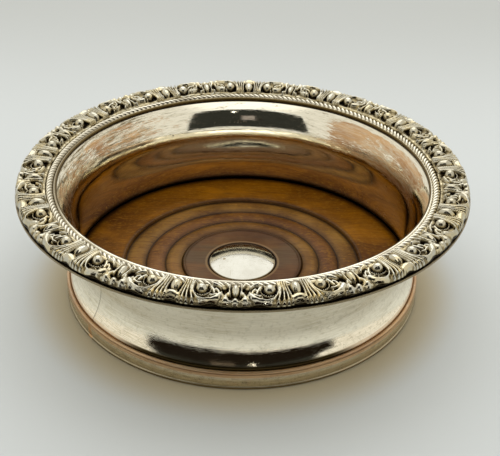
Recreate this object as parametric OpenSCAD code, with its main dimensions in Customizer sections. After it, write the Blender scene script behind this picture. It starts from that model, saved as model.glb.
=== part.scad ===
// Wine bottle coaster. A waisted wall of plated sheet carries a foot moulding below and a
// stamped shell and scroll border on its brim, round a turned wooden base with a metal boss.
// Millimetres, +Z up, the origin at the middle of the face that rests on the table.

/* [Side wall] */
// Inner radius at the waist, the narrowest place
waist_r = 64.9; // [58:0.1:68]
// Height of the waist
waist_z = 21; // [20:0.5:24]
// Thickness of the sheet
sheet_t = 0.8; // [0.5:0.1:1.2]
// Radius of the hollow curve from the waist down to the foot
foot_curve_r = 20.8; // [19:0.2:22]
// Lean of the sheet where that curve ends, in degrees
foot_lean = 37; // [30:1:40]
// Radius of the small bend from that curve into the upright leg
leg_bend_r = 1; // [0.8:0.1:1.4]
// Radius of the long curve above the waist
body_curve_r = 100; // [80:5:140]
// Lean of the sheet where the long curve ends, in degrees
body_lean = 5.7; // [4:0.1:8]
// Radius of the curve that opens towards the brim
lip_curve_r = 27; // [22:0.5:32]
// Lean of the sheet where the lip bends over, in degrees
lip_lean = 42; // [35:1:50]
// Radius of the bend from the lip into the flat brim
brim_bend_r = 2.5; // [2:0.1:4]
// How far the brim shows beyond the border
brim_show = 0.2; // [0.1:0.1:0.6]
// Radius of the bend at the bottom edge, where the sheet turns in
turn_bend_r = 0.6; // [0.4:0.1:1]
// Width of the edge that is turned in under the wood
turned_edge_w = 6; // [5:0.5:10]

/* [Foot] */
// Height of the foot band
foot_band_h = 6.6; // [6:0.1:7.2]
// Height of the foot band's lower edge above the table
foot_lift = 0.4; // [0.2:0.1:0.8]
// Thickness of the foot band at its top
foot_band_t = 1.2; // [0.8:0.1:2]
// How far the foot band swells beyond that
foot_swell = 0.4; // [0.2:0.1:0.8]
// Radius of the bead along the foot band's lower edge
foot_bead_r = 0.6; // [0.4:0.1:0.8]
// Radius of the wire that covers the top of the foot band
foot_wire_r = 0.7; // [0.5:0.1:0.8]

/* [Rim wires] */
// Radius of the plain bead wire at the mouth
bead_wire_r = 0.75; // [0.5:0.05:0.9]
// Lean of the sheet where the bead wire sits, in degrees
bead_wire_lean = 70; // [65:1:75]
// Width of the milled wire
milled_wire_w = 2.6; // [2:0.1:3]
// Height of the milled wire
milled_wire_h = 2; // [1.5:0.1:2.5]
// Number of ticks round the milled wire
milled_ticks = 216; // [180:4:240]

/* [Rim border] */
// Number of shells round the border
border_units = 13; // [11:1:15]
// Width of the border at its widest places
border_w = 11.1; // [9:0.1:12]
// Gap between the milled wire and the border
border_gap = 0.2; // [0.1:0.1:0.5]
// Thickness of the solder bed between the brim and the border
solder_t = 0.7; // [0.4:0.1:1]
// How far the solder bed stays back from the border's edges
solder_inset = 0.9; // [0.5:0.1:1.2]
// Height of the border's edge
border_edge_h = 1; // [0.7:0.1:1.3]
// Height of the border's plain swell
border_swell_h = 2.6; // [2:0.1:3]
// Height of the oval and round bosses
border_boss_h = 4.3; // [3.5:0.1:4.8]

/* [Wooden base] */
// Gap between the wood and the sheet
wood_gap = 0.1; // [0.1:0.05:0.3]
// Height of the wood at its outer field
wood_z = 9.3; // [8.9:0.1:9.6]
// Height of the wood at its middle
wood_mid_z = 7.8; // [7.4:0.1:8.2]
// Radius of the outer groove
groove_1_r = 47.8; // [46:0.1:49]
// Radius of the second groove
groove_2_r = 39.5; // [38:0.1:41]
// Radius of the third groove
groove_3_r = 31.6; // [30:0.1:33]
// Radius of the inner groove
groove_4_r = 24.7; // [23:0.1:26]
// Depth of the grooves
groove_d = 0.9; // [0.5:0.1:1.2]

/* [Boss] */
// Radius of the boss
boss_r = 13.8; // [12:0.1:15]
// Thickness of the boss at its edge
boss_edge_t = 0.8; // [0.5:0.1:1.2]
// Height of the boss's dome above its edge
boss_dome_h = 2.4; // [1.5:0.1:3]
// How far the boss is let into the wood
boss_sink = 0.9; // [0.6:0.1:1.2]
// Gap round the boss
boss_gap = 0.35; // [0.2:0.05:0.6]
// Radius of the boss's stem
stem_r = 2; // [1.5:0.1:2.5]
// Radius of the washer
washer_r = 6; // [5:0.5:7]
// Thickness of the washer
washer_t = 0.8; // [0.5:0.1:1]
// Width of the nut across its flats
nut_af = 7; // [6:0.5:8]
// Thickness of the nut
nut_t = 2.2; // [1.8:0.1:2.4]

/* [Underside] */
// Thickness of the baize
baize_t = 1; // [0.8:0.1:1.5]
// Gap between the baize and the foot band
baize_gap = 0.4; // [0.2:0.1:1]
// Number of pins through the turned-in edge
pin_count = 8; // [6:1:12]
// Radius of a pin's shank
pin_r = 0.6; // [0.4:0.05:0.8]
// Radius of a pin's head
pin_head_r = 1.3; // [1:0.1:1.6]
// Length of a pin
pin_l = 5; // [3:0.5:6]

/* [Hidden] */

$fn = 128;
// Straight runs that stand for one curve of a profile
curve_steps = 8;
bend_steps = 4;
// Overrun of every cut beyond the face that it opens
cut_over = 0.5;

silver = "#c9c6ba";
bare_copper = "#c98b5f";
solder_grey = "#8d8f90";
walnut = "#7a4a1c";
brass = "#b8963f";
steel = "#8a8a8a";
baize_green = "#2f5a3a";

// A point of the sheet's inner face where it leans by `lean`, on a curve about `mid`
function hollow_at(mid, radius, lean) = mid + radius * [-cos(lean), sin(lean)];
// The middle of the next curve, which carries on from that point without a kink
function next_mid(mid, radius, lean, next_radius) =
    hollow_at(mid, radius, lean) + next_radius * [cos(lean), -sin(lean)];
// Points along such a curve, `grow` nearer its middle
function hollow_curve(mid, radius, lean_0, lean_1, steps, grow = 0) =
    [for (i = [0:steps]) hollow_at(mid, radius - grow, lean_0 + (lean_1 - lean_0) * i / steps)];
// Points along a curve about a middle inside the wall, from angle_0 to angle_1
function round_curve(mid, radius, angle_0, angle_1, steps) =
    [for (i = [0:steps]) let (a = angle_0 + (angle_1 - angle_0) * i / steps)
        mid + radius * [cos(a), sin(a)]];
function reversed(points) = [for (i = [len(points) - 1:-1:0]) points[i]];

// Middles of the sheet's curves, from the foot to the brim
foot_mid = [waist_r + foot_curve_r, waist_z];
body_mid = [waist_r + body_curve_r, waist_z];
lip_mid = next_mid(body_mid, body_curve_r, body_lean, lip_curve_r);
brim_mid = next_mid(lip_mid, lip_curve_r, lip_lean, brim_bend_r);
foot_end = hollow_at(foot_mid, foot_curve_r, -foot_lean);
leg_mid = foot_end - leg_bend_r * [cos(foot_lean), sin(foot_lean)];
// Inner and outer radius of the upright leg behind the foot band
leg_r = leg_mid[0] + leg_bend_r;
leg_outer_r = leg_r + sheet_t;
turn_z = baize_t + sheet_t;
turn_mid = [leg_r - turn_bend_r, turn_z + turn_bend_r];
turned_edge_r = leg_r - turned_edge_w;
brim_z = brim_mid[1] + brim_bend_r;

module side_wall() {
    inner = concat(
        [[turned_edge_r, turn_z]],
        round_curve(turn_mid, turn_bend_r, -90, 0, bend_steps),
        round_curve(leg_mid, leg_bend_r, 0, foot_lean, bend_steps),
        hollow_curve(foot_mid, foot_curve_r, -foot_lean, 0, curve_steps),
        hollow_curve(body_mid, body_curve_r, 0, body_lean, bend_steps),
        hollow_curve(lip_mid, lip_curve_r, body_lean, lip_lean, curve_steps),
        hollow_curve(brim_mid, brim_bend_r, lip_lean, 90, bend_steps),
        [[brim_r, brim_z]]);
    outer = concat(
        [[turned_edge_r, baize_t]],
        round_curve(turn_mid, turn_bend_r + sheet_t, -90, 0, bend_steps),
        round_curve(leg_mid, leg_bend_r + sheet_t, 0, foot_lean, bend_steps),
        hollow_curve(foot_mid, foot_curve_r, -foot_lean, 0, curve_steps, sheet_t),
        hollow_curve(body_mid, body_curve_r, 0, body_lean, bend_steps, sheet_t),
        hollow_curve(lip_mid, lip_curve_r, body_lean, lip_lean, curve_steps, sheet_t),
        hollow_curve(brim_mid, brim_bend_r, lip_lean, 90, bend_steps, sheet_t),
        [[brim_r, brim_z - sheet_t]]);
    color(silver) difference() {
        rotate_extrude() polygon(concat(inner, reversed(outer)));
        pins_at() pin_shape();
    }
}

// The foot: a swelled band round the leg, and the wire on its top

band_r = leg_outer_r + foot_band_t;

// Where the round of the foot bead meets the face above it, in degrees
foot_bead_end = 60;

module foot_band() {
    bead_mid = [band_r - foot_bead_r + foot_swell, foot_lift + foot_bead_r];
    face_z = bead_mid[1] + foot_bead_r;
    face = [for (i = [0:curve_steps]) let (up = i / curve_steps)
        [band_r + foot_swell * sin(180 * up), face_z + (foot_band_h - face_z) * up]];
    color(silver) rotate_extrude() polygon(concat(
        [[leg_outer_r, foot_lift]],
        round_curve(bead_mid, foot_bead_r, -90, foot_bead_end, curve_steps),
        face,
        [[leg_outer_r, foot_band_h]]));
}

module foot_wire() {
    color(bare_copper) rotate_extrude()
        translate([leg_outer_r + foot_wire_r, foot_band_h + foot_wire_r])
            circle(foot_wire_r, $fn = 24);
}

// The mouth: a plain bead wire in the bend of the lip, and a milled wire on the flat brim

bead_at = hollow_at(brim_mid, brim_bend_r + bead_wire_r, bead_wire_lean);
milled_in_r = bead_at[0] + bead_wire_r;

module bead_wire() {
    color(silver) rotate_extrude() translate(bead_at) circle(bead_wire_r, $fn = 24);
}

// A closed ring from rows of points, one row for each step of the turn
module ring_of(rows) {
    turns = len(rows);
    size = len(rows[0]);
    points = [for (row = rows) each row];
    faces = [for (i = [0:turns - 1]) for (k = [0:size - 1])
        let (a = i * size + k, b = i * size + (k + 1) % size,
            c = ((i + 1) % turns) * size + (k + 1) % size, d = ((i + 1) % turns) * size + k)
        each [[a, b, c], [a, c, d]]];
    polyhedron(points, faces);
}

function turned(point, angle) = [point[0] * cos(angle), point[0] * sin(angle), point[1]];

// Share of the wire's size that is left in the nick between two ticks
nick_share = 0.74;
// Slant of the ticks, as a share of the step from one tick to the next
slant_share = 0.9;
milled_sides = 4;

module milled_wire() {
    mid_r = milled_in_r + milled_wire_w / 2;
    rows = [for (i = [0:2 * milled_ticks - 1]) [for (k = [0:milled_sides])
        let (size = i % 2 == 0 ? 1 : nick_share,
            a = 180 - 180 * k / milled_sides,
            slant = (k / milled_sides - 0.5) * slant_share * 360 / milled_ticks,
            edge = k == 0 || k == milled_sides ? 1 : size)
        turned([mid_r + edge * milled_wire_w / 2 * cos(a), brim_z + edge * milled_wire_h * sin(a)],
            180 * i / milled_ticks + slant)]];
    color(silver) ring_of(rows);
}

// The border: every unit runs from an oval boss past a reeded band, a round boss in a
// scroll and the scroll's curl to half a shell, and then back in mirror image

border_in_r = milled_in_r + milled_wire_w + border_gap;
border_z = brim_z + solder_t;
border_r = border_in_r + border_w;
brim_r = border_r + brim_show;
border_mid_r = (border_in_r + border_r) / 2;
unit_angle = 360 / border_units;
unit_l = border_mid_r * unit_angle * PI / 180;
border_steps = 28;
border_cols = 8;

// Places along a unit, as shares of its length from the oval boss, and sizes as shares
// of the border's width
round_boss_share = 0.232;
curl_share = 0.355;
notch_share = 0.40;
shell_share = 0.5;
oval_half_w = 0.24 * border_w;
oval_half_l = 0.37 * border_w;
oval_out = 0.37 * border_w;
round_boss_size = 0.28 * border_w;
round_boss_out = 0.31 * border_w;
scroll_size = 0.47 * border_w;
scroll_w = 0.10 * border_w;
scroll_h = 0.72 * border_boss_h;
curl_size = 0.17 * border_w;
curl_out = 0.76 * border_w;
curl_h = 0.76 * border_boss_h;
bud_half_w = 0.15 * border_w;
bud_half_l = 0.28 * border_w;
bud_out = 0.33 * border_w;
bud_h = 0.92 * border_boss_h;
lobe_h = 0.16 * border_boss_h;
lobe_count = 9;
moat_d = 0.26 * border_boss_h;
oval_notch = 0.14 * border_w;
curl_notch = 0.11 * border_w;
shell_notch = 0.06 * border_w;
notch_half_w = 0.24 * border_w;

function bell(x) = exp(-x * x);
// A dome of height 1 over an oval of half sizes `wide` and `long`, and the hollow round it
function oval_dist(along, out, at_along, at_out, wide, long) =
    norm([(along - at_along) / wide, (out - at_out) / long]);
function dome(dist) = dist < 1 ? sqrt(1 - dist * dist) : 0;
function over_swell(dist, top) = dist < 1 ? border_edge_h + (top - border_edge_h) * dome(dist) : 0;

// How far the border's edge reaches at a place along the unit
function edge_reach(along) =
    border_r - oval_notch * bell(along / notch_half_w)
        - curl_notch * bell((along - notch_share * unit_l) / notch_half_w)
        - shell_notch * bell((along - shell_share * unit_l) / notch_half_w);

// Height of the border above its seat, `along` the unit and `out` from the inner edge
function border_height(along, out, reach) = let (
    swell = border_edge_h + (border_swell_h - border_edge_h) * pow(sin(180 * out / reach), 0.6),
    oval = oval_dist(along, out, 0, oval_out, oval_half_w, oval_half_l),
    round_boss = oval_dist(along, out, round_boss_share * unit_l, round_boss_out,
        round_boss_size, round_boss_size),
    curl = oval_dist(along, out, curl_share * unit_l, curl_out, curl_size, curl_size),
    bud = oval_dist(along, out, shell_share * unit_l, bud_out, bud_half_w, bud_half_l),
    ring = abs(round_boss * round_boss_size - scroll_size) / scroll_w,
    scroll = out > round_boss_out ? scroll_h * bell(ring) : 0,
    from_shell = [shell_share * unit_l - along, out],
    fan = from_shell[0] < (shell_share - curl_share) * unit_l
        ? lobe_h * cos(lobe_count * atan2(from_shell[0], from_shell[1])) : 0,
    moat = moat_d * (bell((oval - 1.3) / 0.3) + bell((round_boss - 1.3) / 0.25)))
    max(border_edge_h, swell + fan - moat, scroll, over_swell(oval, border_boss_h),
        over_swell(round_boss, border_boss_h), over_swell(curl, curl_h), over_swell(bud, bud_h));

function border_row(i) = let (
    share = i % border_steps / border_steps,
    along = min(share, 1 - share) * unit_l,
    reach = edge_reach(along) - border_in_r,
    angle = 90 + unit_angle * i / border_steps)
    concat(
        [turned([border_in_r, border_z], angle)],
        [for (k = [0:border_cols]) let (out = reach * k / border_cols,
            height = k == 0 || k == border_cols ? border_edge_h : border_height(along, out, reach))
            turned([border_in_r + out, border_z + height], angle)],
        [turned([border_in_r + reach, border_z], angle)]);

module rim_border() {
    color(silver) ring_of([for (i = [0:border_units * border_steps - 1]) border_row(i)]);
}

module border_solder() {
    least_reach = border_r - oval_notch - solder_inset;
    color(solder_grey) rotate_extrude()
        translate([border_in_r + solder_inset, brim_z])
            square([least_reach - border_in_r - solder_inset, solder_t]);
}

// The wooden base, turned from one disc

wood_r = leg_r - wood_gap;
wood_edge_z = foot_end[1] - leg_bend_r;
boss_floor_z = wood_mid_z - boss_sink;
nut_hole_r = washer_r + boss_gap;
// Height of the web of wood that the washer bears on
web_z = baize_t + boss_gap + nut_t + washer_t;

// A convex moulding between two grooves, without its first point
function roll(from, to, crown) =
    [for (i = [1:curve_steps]) let (t = i / curve_steps)
        from + (to - from) * t + [0, crown * pow(sin(180 * t), 0.7)]];
function groove_at(radius) =
    [radius, wood_mid_z + (wood_z - wood_mid_z) * pow(radius / wood_r, 2) - groove_d];

module wood_base() {
    field = [
        [wood_r, wood_edge_z],
        [wood_r - (wood_z - wood_edge_z) * 0.35, wood_z - (wood_z - wood_edge_z) * 0.35],
        [wood_r - (wood_z - wood_edge_z), wood_z],
        [(groove_1_r + wood_r) / 2, wood_z - groove_d * 0.4],
        [groove_1_r + 3 * groove_d, wood_z - groove_d * 0.3],
        [groove_1_r + groove_d, wood_z - groove_d * 0.5]];
    g1 = groove_at(groove_1_r);
    g2 = groove_at(groove_2_r);
    g3 = groove_at(groove_3_r);
    g4 = groove_at(groove_4_r);
    recess_r = boss_r + boss_gap;
    color(walnut) difference() {
        rotate_extrude() polygon(concat(
            [[0, baize_t], [turned_edge_r - wood_gap, baize_t], [turned_edge_r - wood_gap, turn_z],
                [turn_mid[0] - wood_gap, turn_z], [wood_r, turn_mid[1]]],
            field, [g1], roll(g1, g2, groove_d), roll(g2, g3, groove_d), roll(g3, g4, groove_d),
            [[groove_4_r - groove_d, wood_mid_z], [recess_r, wood_mid_z],
                [recess_r, boss_floor_z], [0, boss_floor_z]]));
        translate([0, 0, baize_t - cut_over]) cylinder(r = stem_r, h = wood_z);
        translate([0, 0, baize_t - cut_over]) cylinder(r = nut_hole_r, h = web_z - baize_t + cut_over);
        pins_at() pin_shape();
    }
}

// The boss and what holds it

module boss() {
    dome_r = (boss_r * boss_r + boss_dome_h * boss_dome_h) / (2 * boss_dome_h);
    edge_z = boss_floor_z + boss_edge_t;
    color(silver) rotate_extrude() polygon(concat(
        [[0, boss_floor_z], [boss_r, boss_floor_z]],
        round_curve([0, edge_z + boss_dome_h - dome_r], dome_r, acos(boss_r / dome_r), 90, curve_steps)));
}

module boss_stem() {
    color(brass) translate([0, 0, baize_t + boss_gap])
        cylinder(r = stem_r, h = boss_floor_z - baize_t - boss_gap);
}

module boss_washer() {
    color(brass) translate([0, 0, web_z - washer_t]) difference() {
        cylinder(r = washer_r, h = washer_t);
        translate([0, 0, -cut_over]) cylinder(r = stem_r, h = washer_t + 2 * cut_over);
    }
}

module boss_nut() {
    color(brass) translate([0, 0, web_z - washer_t - nut_t]) difference() {
        cylinder(r = nut_af / 2 / cos(30), h = nut_t, $fn = 6);
        translate([0, 0, -cut_over]) cylinder(r = stem_r, h = nut_t + 2 * cut_over);
    }
}

// The underside: pins through the turned-in edge, and the baize over them

pin_head_t = sheet_t / 2;

module pin_shape() {
    translate([0, 0, baize_t]) cylinder(r = pin_head_r, h = pin_head_t, $fn = 32);
    translate([0, 0, baize_t]) cylinder(r = pin_r, h = pin_l, $fn = 32);
}

module pins_at() {
    for (i = [0:pin_count - 1])
        rotate((i + 0.5) * 360 / pin_count) translate([(turned_edge_r + turn_mid[0]) / 2, 0]) children();
}

module base_pins() {
    color(steel) pins_at() pin_shape();
}

module baize() {
    color(baize_green) cylinder(r = leg_outer_r - baize_gap, h = baize_t);
}

side_wall();
foot_band();
foot_wire();
bead_wire();
milled_wire();
rim_border();
border_solder();
wood_base();
boss();
boss_stem();
boss_washer();
boss_nut();
base_pins();
baize();
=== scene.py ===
# %% [markdown]
# A wine bottle coaster is a low round stand of plated sheet with a turned wooden floor.
# This lesson dresses its frame, piece by piece: the spun wall, the foot, two rim wires, the
# stamped border, the wood and the boss. The frame comes first, because every piece has to
# land where the real one is held. Sizes are in millimetres, and MM turns them into metres.

# %% Load the frame
import math

import bpy
import numpy as np
from mathutils import Matrix, Vector


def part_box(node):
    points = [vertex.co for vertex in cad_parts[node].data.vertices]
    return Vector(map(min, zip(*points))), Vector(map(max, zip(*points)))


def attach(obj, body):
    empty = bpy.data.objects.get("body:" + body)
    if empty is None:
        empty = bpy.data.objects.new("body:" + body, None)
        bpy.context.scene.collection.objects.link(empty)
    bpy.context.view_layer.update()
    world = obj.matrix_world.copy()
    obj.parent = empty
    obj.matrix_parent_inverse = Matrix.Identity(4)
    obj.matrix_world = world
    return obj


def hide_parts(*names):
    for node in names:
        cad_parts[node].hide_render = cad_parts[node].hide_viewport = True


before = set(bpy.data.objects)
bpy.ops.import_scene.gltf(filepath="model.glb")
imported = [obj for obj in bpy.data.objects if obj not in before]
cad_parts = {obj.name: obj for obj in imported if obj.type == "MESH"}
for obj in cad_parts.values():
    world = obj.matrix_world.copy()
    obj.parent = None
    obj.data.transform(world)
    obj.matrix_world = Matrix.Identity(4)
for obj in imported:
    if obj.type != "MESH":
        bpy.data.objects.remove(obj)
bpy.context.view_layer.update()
MM = 0.001
TURN = 2 * math.pi
scene = bpy.context.scene
print("nodes:", sorted(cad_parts))


def reach(node):
    """Outer radius, lowest and highest level of a node, in millimetres."""
    low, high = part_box(node)
    return high.x / MM, low.z / MM, high.z / MM


# %% [markdown]
# The camera stands where the real one stood: a little over 40 cm away, looking down at
# about 35 degrees with a long lens, so the circles stay nearly true ellipses. It could be
# aimed with a Track To constraint, but then it could not be rolled by a fraction of a
# degree. Here it looks at the origin and is then turned about its own three axes. Its
# distance is in metres, and the three turns are in radians.

# %% Camera
CAMERA_DISTANCE = 0.41782
CAMERA_HEIGHT_ANGLE, CAMERA_SIDE_ANGLE = math.radians(34.57), math.radians(1.4)
PAN, TILT, ROLL = -0.0073357, 0.0485836, 0.0128723
SENSOR_WIDTH, LENS = 36, 72


def add_camera():
    level = CAMERA_DISTANCE * math.cos(CAMERA_HEIGHT_ANGLE)
    place = Vector((level * math.sin(CAMERA_SIDE_ANGLE), -level * math.cos(CAMERA_SIDE_ANGLE),
                    CAMERA_DISTANCE * math.sin(CAMERA_HEIGHT_ANGLE)))
    aim = (-place).to_track_quat("-Z", "Y").to_matrix()
    for angle, axis in ((PAN, "Y"), (TILT, "X"), (ROLL, "Z")):
        aim = aim @ Matrix.Rotation(angle, 3, axis)
    data = bpy.data.cameras.new("camera")
    data.sensor_width, data.lens = SENSOR_WIDTH, LENS
    camera = bpy.data.objects.new("camera", data)
    scene.collection.objects.link(camera)
    camera.matrix_world = Matrix.Translation(place) @ aim.to_4x4()
    scene.camera = camera
    return camera


camera = add_camera()
print("camera height:", round(camera.matrix_world.translation.z, 3), "m")

# %% [markdown]
# Most of this object was shaped on a lathe, so most pieces are an outline turned about one
# axis. Blender's Screw modifier or Spin tool would do it. Building the rings with numpy is
# as short, closes the last ring on the first one, and lets later cells read the points.

# %% Turning an outline into a mesh
RING_STEPS = 720


def make_object(name, points, faces, *materials, sharp=None):
    """A mesh object from points in millimetres; edges over `sharp` degrees stay crisp."""
    mesh = bpy.data.meshes.new(name)
    faces = faces if isinstance(faces, list) else faces.tolist()
    mesh.from_pydata((points.reshape(-1, 3) * MM).tolist(), [], faces)
    mesh.polygons.foreach_set("use_smooth", [True] * len(mesh.polygons))
    if sharp is not None:
        mesh.set_sharp_from_angle(angle=math.radians(sharp))
    mesh.update()
    for material in materials:
        mesh.materials.append(material)
    piece = bpy.data.objects.new(name, mesh)
    scene.collection.objects.link(piece)
    return piece


def grid_faces(rows, columns, closed_columns=True):
    """Quads over a grid of points, wound so that they face outwards on a turned ring."""
    column = np.arange(columns if closed_columns else columns - 1)
    r, c = np.meshgrid(np.arange(rows), column, indexing="ij")
    next_r, next_c = (r + 1) % rows, (c + 1) % columns
    corners = [r * columns + c, next_r * columns + c,
               next_r * columns + next_c, r * columns + next_c]
    return np.stack([corner.ravel() for corner in corners], axis=1)


def around(radius, angle, level):
    """Points at these radii, angles and levels, as numpy spreads them over a grid."""
    sides = np.broadcast_arrays(radius * np.cos(angle), radius * np.sin(angle), level)
    return np.stack(sides, axis=-1)


def turned(outline, steps):
    """Points of an outline of (radius, height), with one row for each step round the Z axis."""
    return around(outline[:, 0], np.arange(steps)[:, None] * TURN / steps, outline[:, 1])


def turned_ring(outline):
    """Points and faces of a closed outline turned about the Z axis."""
    radius, height = outline[:, 0], outline[:, 1]
    area = np.sum(radius * np.roll(height, -1) - np.roll(radius, -1) * height)
    faces = grid_faces(RING_STEPS, len(outline))
    return turned(outline, RING_STEPS), faces if area > 0 else faces[:, ::-1]


def arc(middle, radius, start, end, steps=12):
    """Points of (radius, height) on a circle, between two angles in degrees."""
    angle = np.radians(np.linspace(start, end, steps + 1))
    return np.stack([middle[0] + radius * np.cos(angle), middle[1] + radius * np.sin(angle)], axis=1)


print("a ring of", RING_STEPS, "steps has a step of", round(TURN * 88 / RING_STEPS, 2), "mm")

# %% [markdown]
# A finish here is never one colour. What changes over the surface comes from masks, and each
# material lays its own colours over each other with them. Nodes can be wired by hand, but
# dozens of Math nodes are hard to read, so a small class gives a node's output the signs
# + - * / and a few methods, and a mask is written like a sum. All the patterns are three
# dimensional noise in object space, so a turned piece has no seam.

# %% Values that nodes put out
class Value:
    """What a node puts out. Each sum, step or noise on it adds one more node to its tree."""

    def __init__(self, tree, socket):
        self.tree, self.socket = tree, socket

    def __add__(self, other):
        return self.tree.math("ADD", self, other)

    def __sub__(self, other):
        return self.tree.math("SUBTRACT", self, other)

    def __rsub__(self, other):
        return self.tree.math("SUBTRACT", other, self)

    def __mul__(self, other):
        return self.tree.math("MULTIPLY", self, other)

    def __truediv__(self, other):
        return self.tree.math("DIVIDE", self, other)

    def ramp(self, low, high, to_low=0.0, to_high=1.0):
        """A smooth step from to_low to to_high as the value goes from low to high."""
        return self.tree.value("ShaderNodeMapRange", "Result", {"interpolation_type": "SMOOTHSTEP"},
                               Value=self, From_Min=low, From_Max=high, To_Min=to_low, To_Max=to_high)

    def band(self, low, high, soft):
        """1 between low and high, falling to 0 over a distance of soft outside them."""
        return self.ramp(low - soft, low) * self.ramp(high, high + soft, 1.0, 0.0)

    def scaled(self, x, y, z):
        """A place with its three parts multiplied, which squeezes any noise on it."""
        scale = self.tree.value("ShaderNodeCombineXYZ", 0, X=x, Y=y, Z=z)
        return self.tree.value("ShaderNodeVectorMath", 0, {"operation": "MULTIPLY"}, (self, scale))

    def noise(self, scale, detail=3.0, roughness=0.55):
        return self.tree.value("ShaderNodeTexNoise", "Fac", Vector=self, Scale=scale, Detail=detail,
                               Roughness=roughness)


print("a value also has:", [name for name in vars(Value) if not name.startswith("_")])

# %% Node trees
class Tree:
    """Short ways to add nodes to a node tree."""

    def __init__(self, tree):
        self.tree = tree

    def feed(self, socket, value):
        """Link a value to a socket, or set the socket where it is the same all over."""
        if isinstance(value, Value):
            self.tree.links.new(value.socket, socket)
        else:
            socket.default_value = value

    def add(self, kind, settings=None, inputs=(), **named):
        """A node; its sockets are fed in order, or by name with _ in place of a space."""
        node = self.tree.nodes.new(kind)
        for name, setting in (settings or {}).items():
            setattr(node, name, setting)
        for socket, value in zip(node.inputs, inputs):
            self.feed(socket, value)
        for name, value in named.items():
            self.feed(node.inputs[name.replace("_", " ")], value)
        return node

    def value(self, kind, output, settings=None, inputs=(), **named):
        """One output of a new node."""
        return Value(self, self.add(kind, settings, inputs, **named).outputs[output])

    def math(self, operation, *inputs):
        return self.value("ShaderNodeMath", 0, {"operation": operation}, inputs)

    def most(self, first, *others):
        """The highest of some values."""
        for other in others:
            first = self.math("MAXIMUM", first, other)
        return first

    def mix(self, factor, first, second):
        """A colour between two others, the second where the factor is 1."""
        node = self.add("ShaderNodeMix", {"data_type": "RGBA"}, [factor])
        for index, colour in ((6, first), (7, second)):
            self.feed(node.inputs[index], colour)
        return Value(self, node.outputs[2])

    def layers(self, colour, *layers):
        """A colour under others, each of them a pair of a mask and a colour."""
        for mask, over in layers:
            colour = self.mix(mask, colour, over)
        return colour


class Finish(Tree):
    """The tree of a new material: its shader, and where each point lies on the object."""

    def __init__(self, name, metallic, roughness):
        self.material = bpy.data.materials.new(name)
        self.material.use_nodes = True
        super().__init__(self.material.node_tree)
        self.shader = self.tree.nodes["Principled BSDF"]
        self.set(Metallic=metallic, Roughness=roughness)
        self.vector = self.value("ShaderNodeTexCoord", "Object")
        split = self.add("ShaderNodeSeparateXYZ", Vector=self.vector)
        self.x, self.y, z = [Value(self, socket) for socket in split.outputs]
        self.radius = self.math("SQRT", self.x * self.x + self.y * self.y) / MM
        self.height = z / MM

    def set(self, **sockets):
        """Feed sockets of the shader, by name with _ in place of a space."""
        for name, value in sockets.items():
            self.feed(self.shader.inputs[name.replace("_", " ")], value)

    def bump(self, height, distance_mm):
        self.set(Normal=self.value("ShaderNodeBump", "Normal", Height=height,
                                   Distance=distance_mm * MM, Strength=1.0))

    def attribute(self, name):
        """A mask that is stored on the points of the mesh."""
        return self.value("ShaderNodeAttribute", "Fac", {"attribute_name": name})

    def use(self, group, **values):
        """Place a node group; gives what it puts out, as a list if that is more than one."""
        node = self.add("ShaderNodeGroup", {"node_tree": group}, Vector=self.vector, **values)
        outputs = [Value(self, socket) for socket in node.outputs]
        return outputs if len(outputs) > 1 else outputs[0]


def srgb(red, green, blue):
    """A colour of 0 to 255 as seen on a screen, in Blender's linear values."""
    values = [channel / 255 for channel in (red, green, blue)]
    return [v / 12.92 if v <= 0.04045 else ((v + 0.055) / 1.055) ** 2.4 for v in values] + [1.0]


print("node helpers are ready")

# %% [markdown]
# Three effects turn up on several metals, so each is one group with named inputs. Rub marks
# are fine level streaks from cloths: noise squeezed along Z gives the lines that years of
# polishing leave on a round wall. Wear patches are islands where the thin silver is rubbed
# through. Pits are single small dark specks from knocks and old polish.

# %% Node groups
def make_group(build, **defaults):
    """A node group: `build` takes its tree and inputs, and gives what it puts out by name."""
    group = bpy.data.node_groups.new(build.__name__, "ShaderNodeTree")
    group.interface.new_socket("Vector", in_out="INPUT", socket_type="NodeSocketVector")
    for name, default in defaults.items():
        socket = group.interface.new_socket(name, in_out="INPUT", socket_type="NodeSocketFloat")
        socket.default_value = default
    tree = Tree(group)
    given = group.nodes.new("NodeGroupInput").outputs
    values = [Value(tree, given[name]) for name in ("Vector", *defaults)]
    results = build(tree, *values)
    for name in results:
        group.interface.new_socket(name, in_out="OUTPUT", socket_type="NodeSocketFloat")
    tree.add("NodeGroupOutput", None, results.values())
    print("group", group.name, "gives", list(results))
    return group


def rub_marks(tree, vector, length, fineness, broken):
    squeezed = vector.scaled(1.0, 1.0, fineness)
    streak = squeezed.noise(length * 4.0, 4.0, 0.6) * 0.6 + squeezed.noise(length, 3.0, 0.6) * 0.4
    kept = 1.0 - vector.noise(45.0, 2.0).ramp(0.35, 0.65) * broken
    return {"Streaks": streak.ramp(0.42, 0.64) * kept,
            "Haze": squeezed.noise(22.0, 2.0).ramp(0.3, 0.7)}


def wear_patches(tree, vector, size, flatness, cover, softness, ragged):
    squeezed = vector.scaled(1.0, 1.0, flatness)
    brushed = squeezed.scaled(1.0, 1.0, 5.0).noise(size * 5.0)
    islands = squeezed.noise(size, 6.0, 0.68) + (brushed - 0.5) * ragged
    shore = 0.78 - cover * 0.56
    return {"Mask": islands.ramp(shore, shore + softness)}


def pits(tree, vector, spacing, size, share):
    cells = tree.add("ShaderNodeTexVoronoi", Vector=vector, Scale=spacing, Randomness=1.0)
    colour, distance = Value(tree, cells.outputs["Color"]), Value(tree, cells.outputs["Distance"])
    chance = tree.value("ShaderNodeSeparateColor", 0, Color=colour)
    return {"Mask": tree.math("LESS_THAN", chance, share) * tree.math("LESS_THAN", distance, size)}


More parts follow.
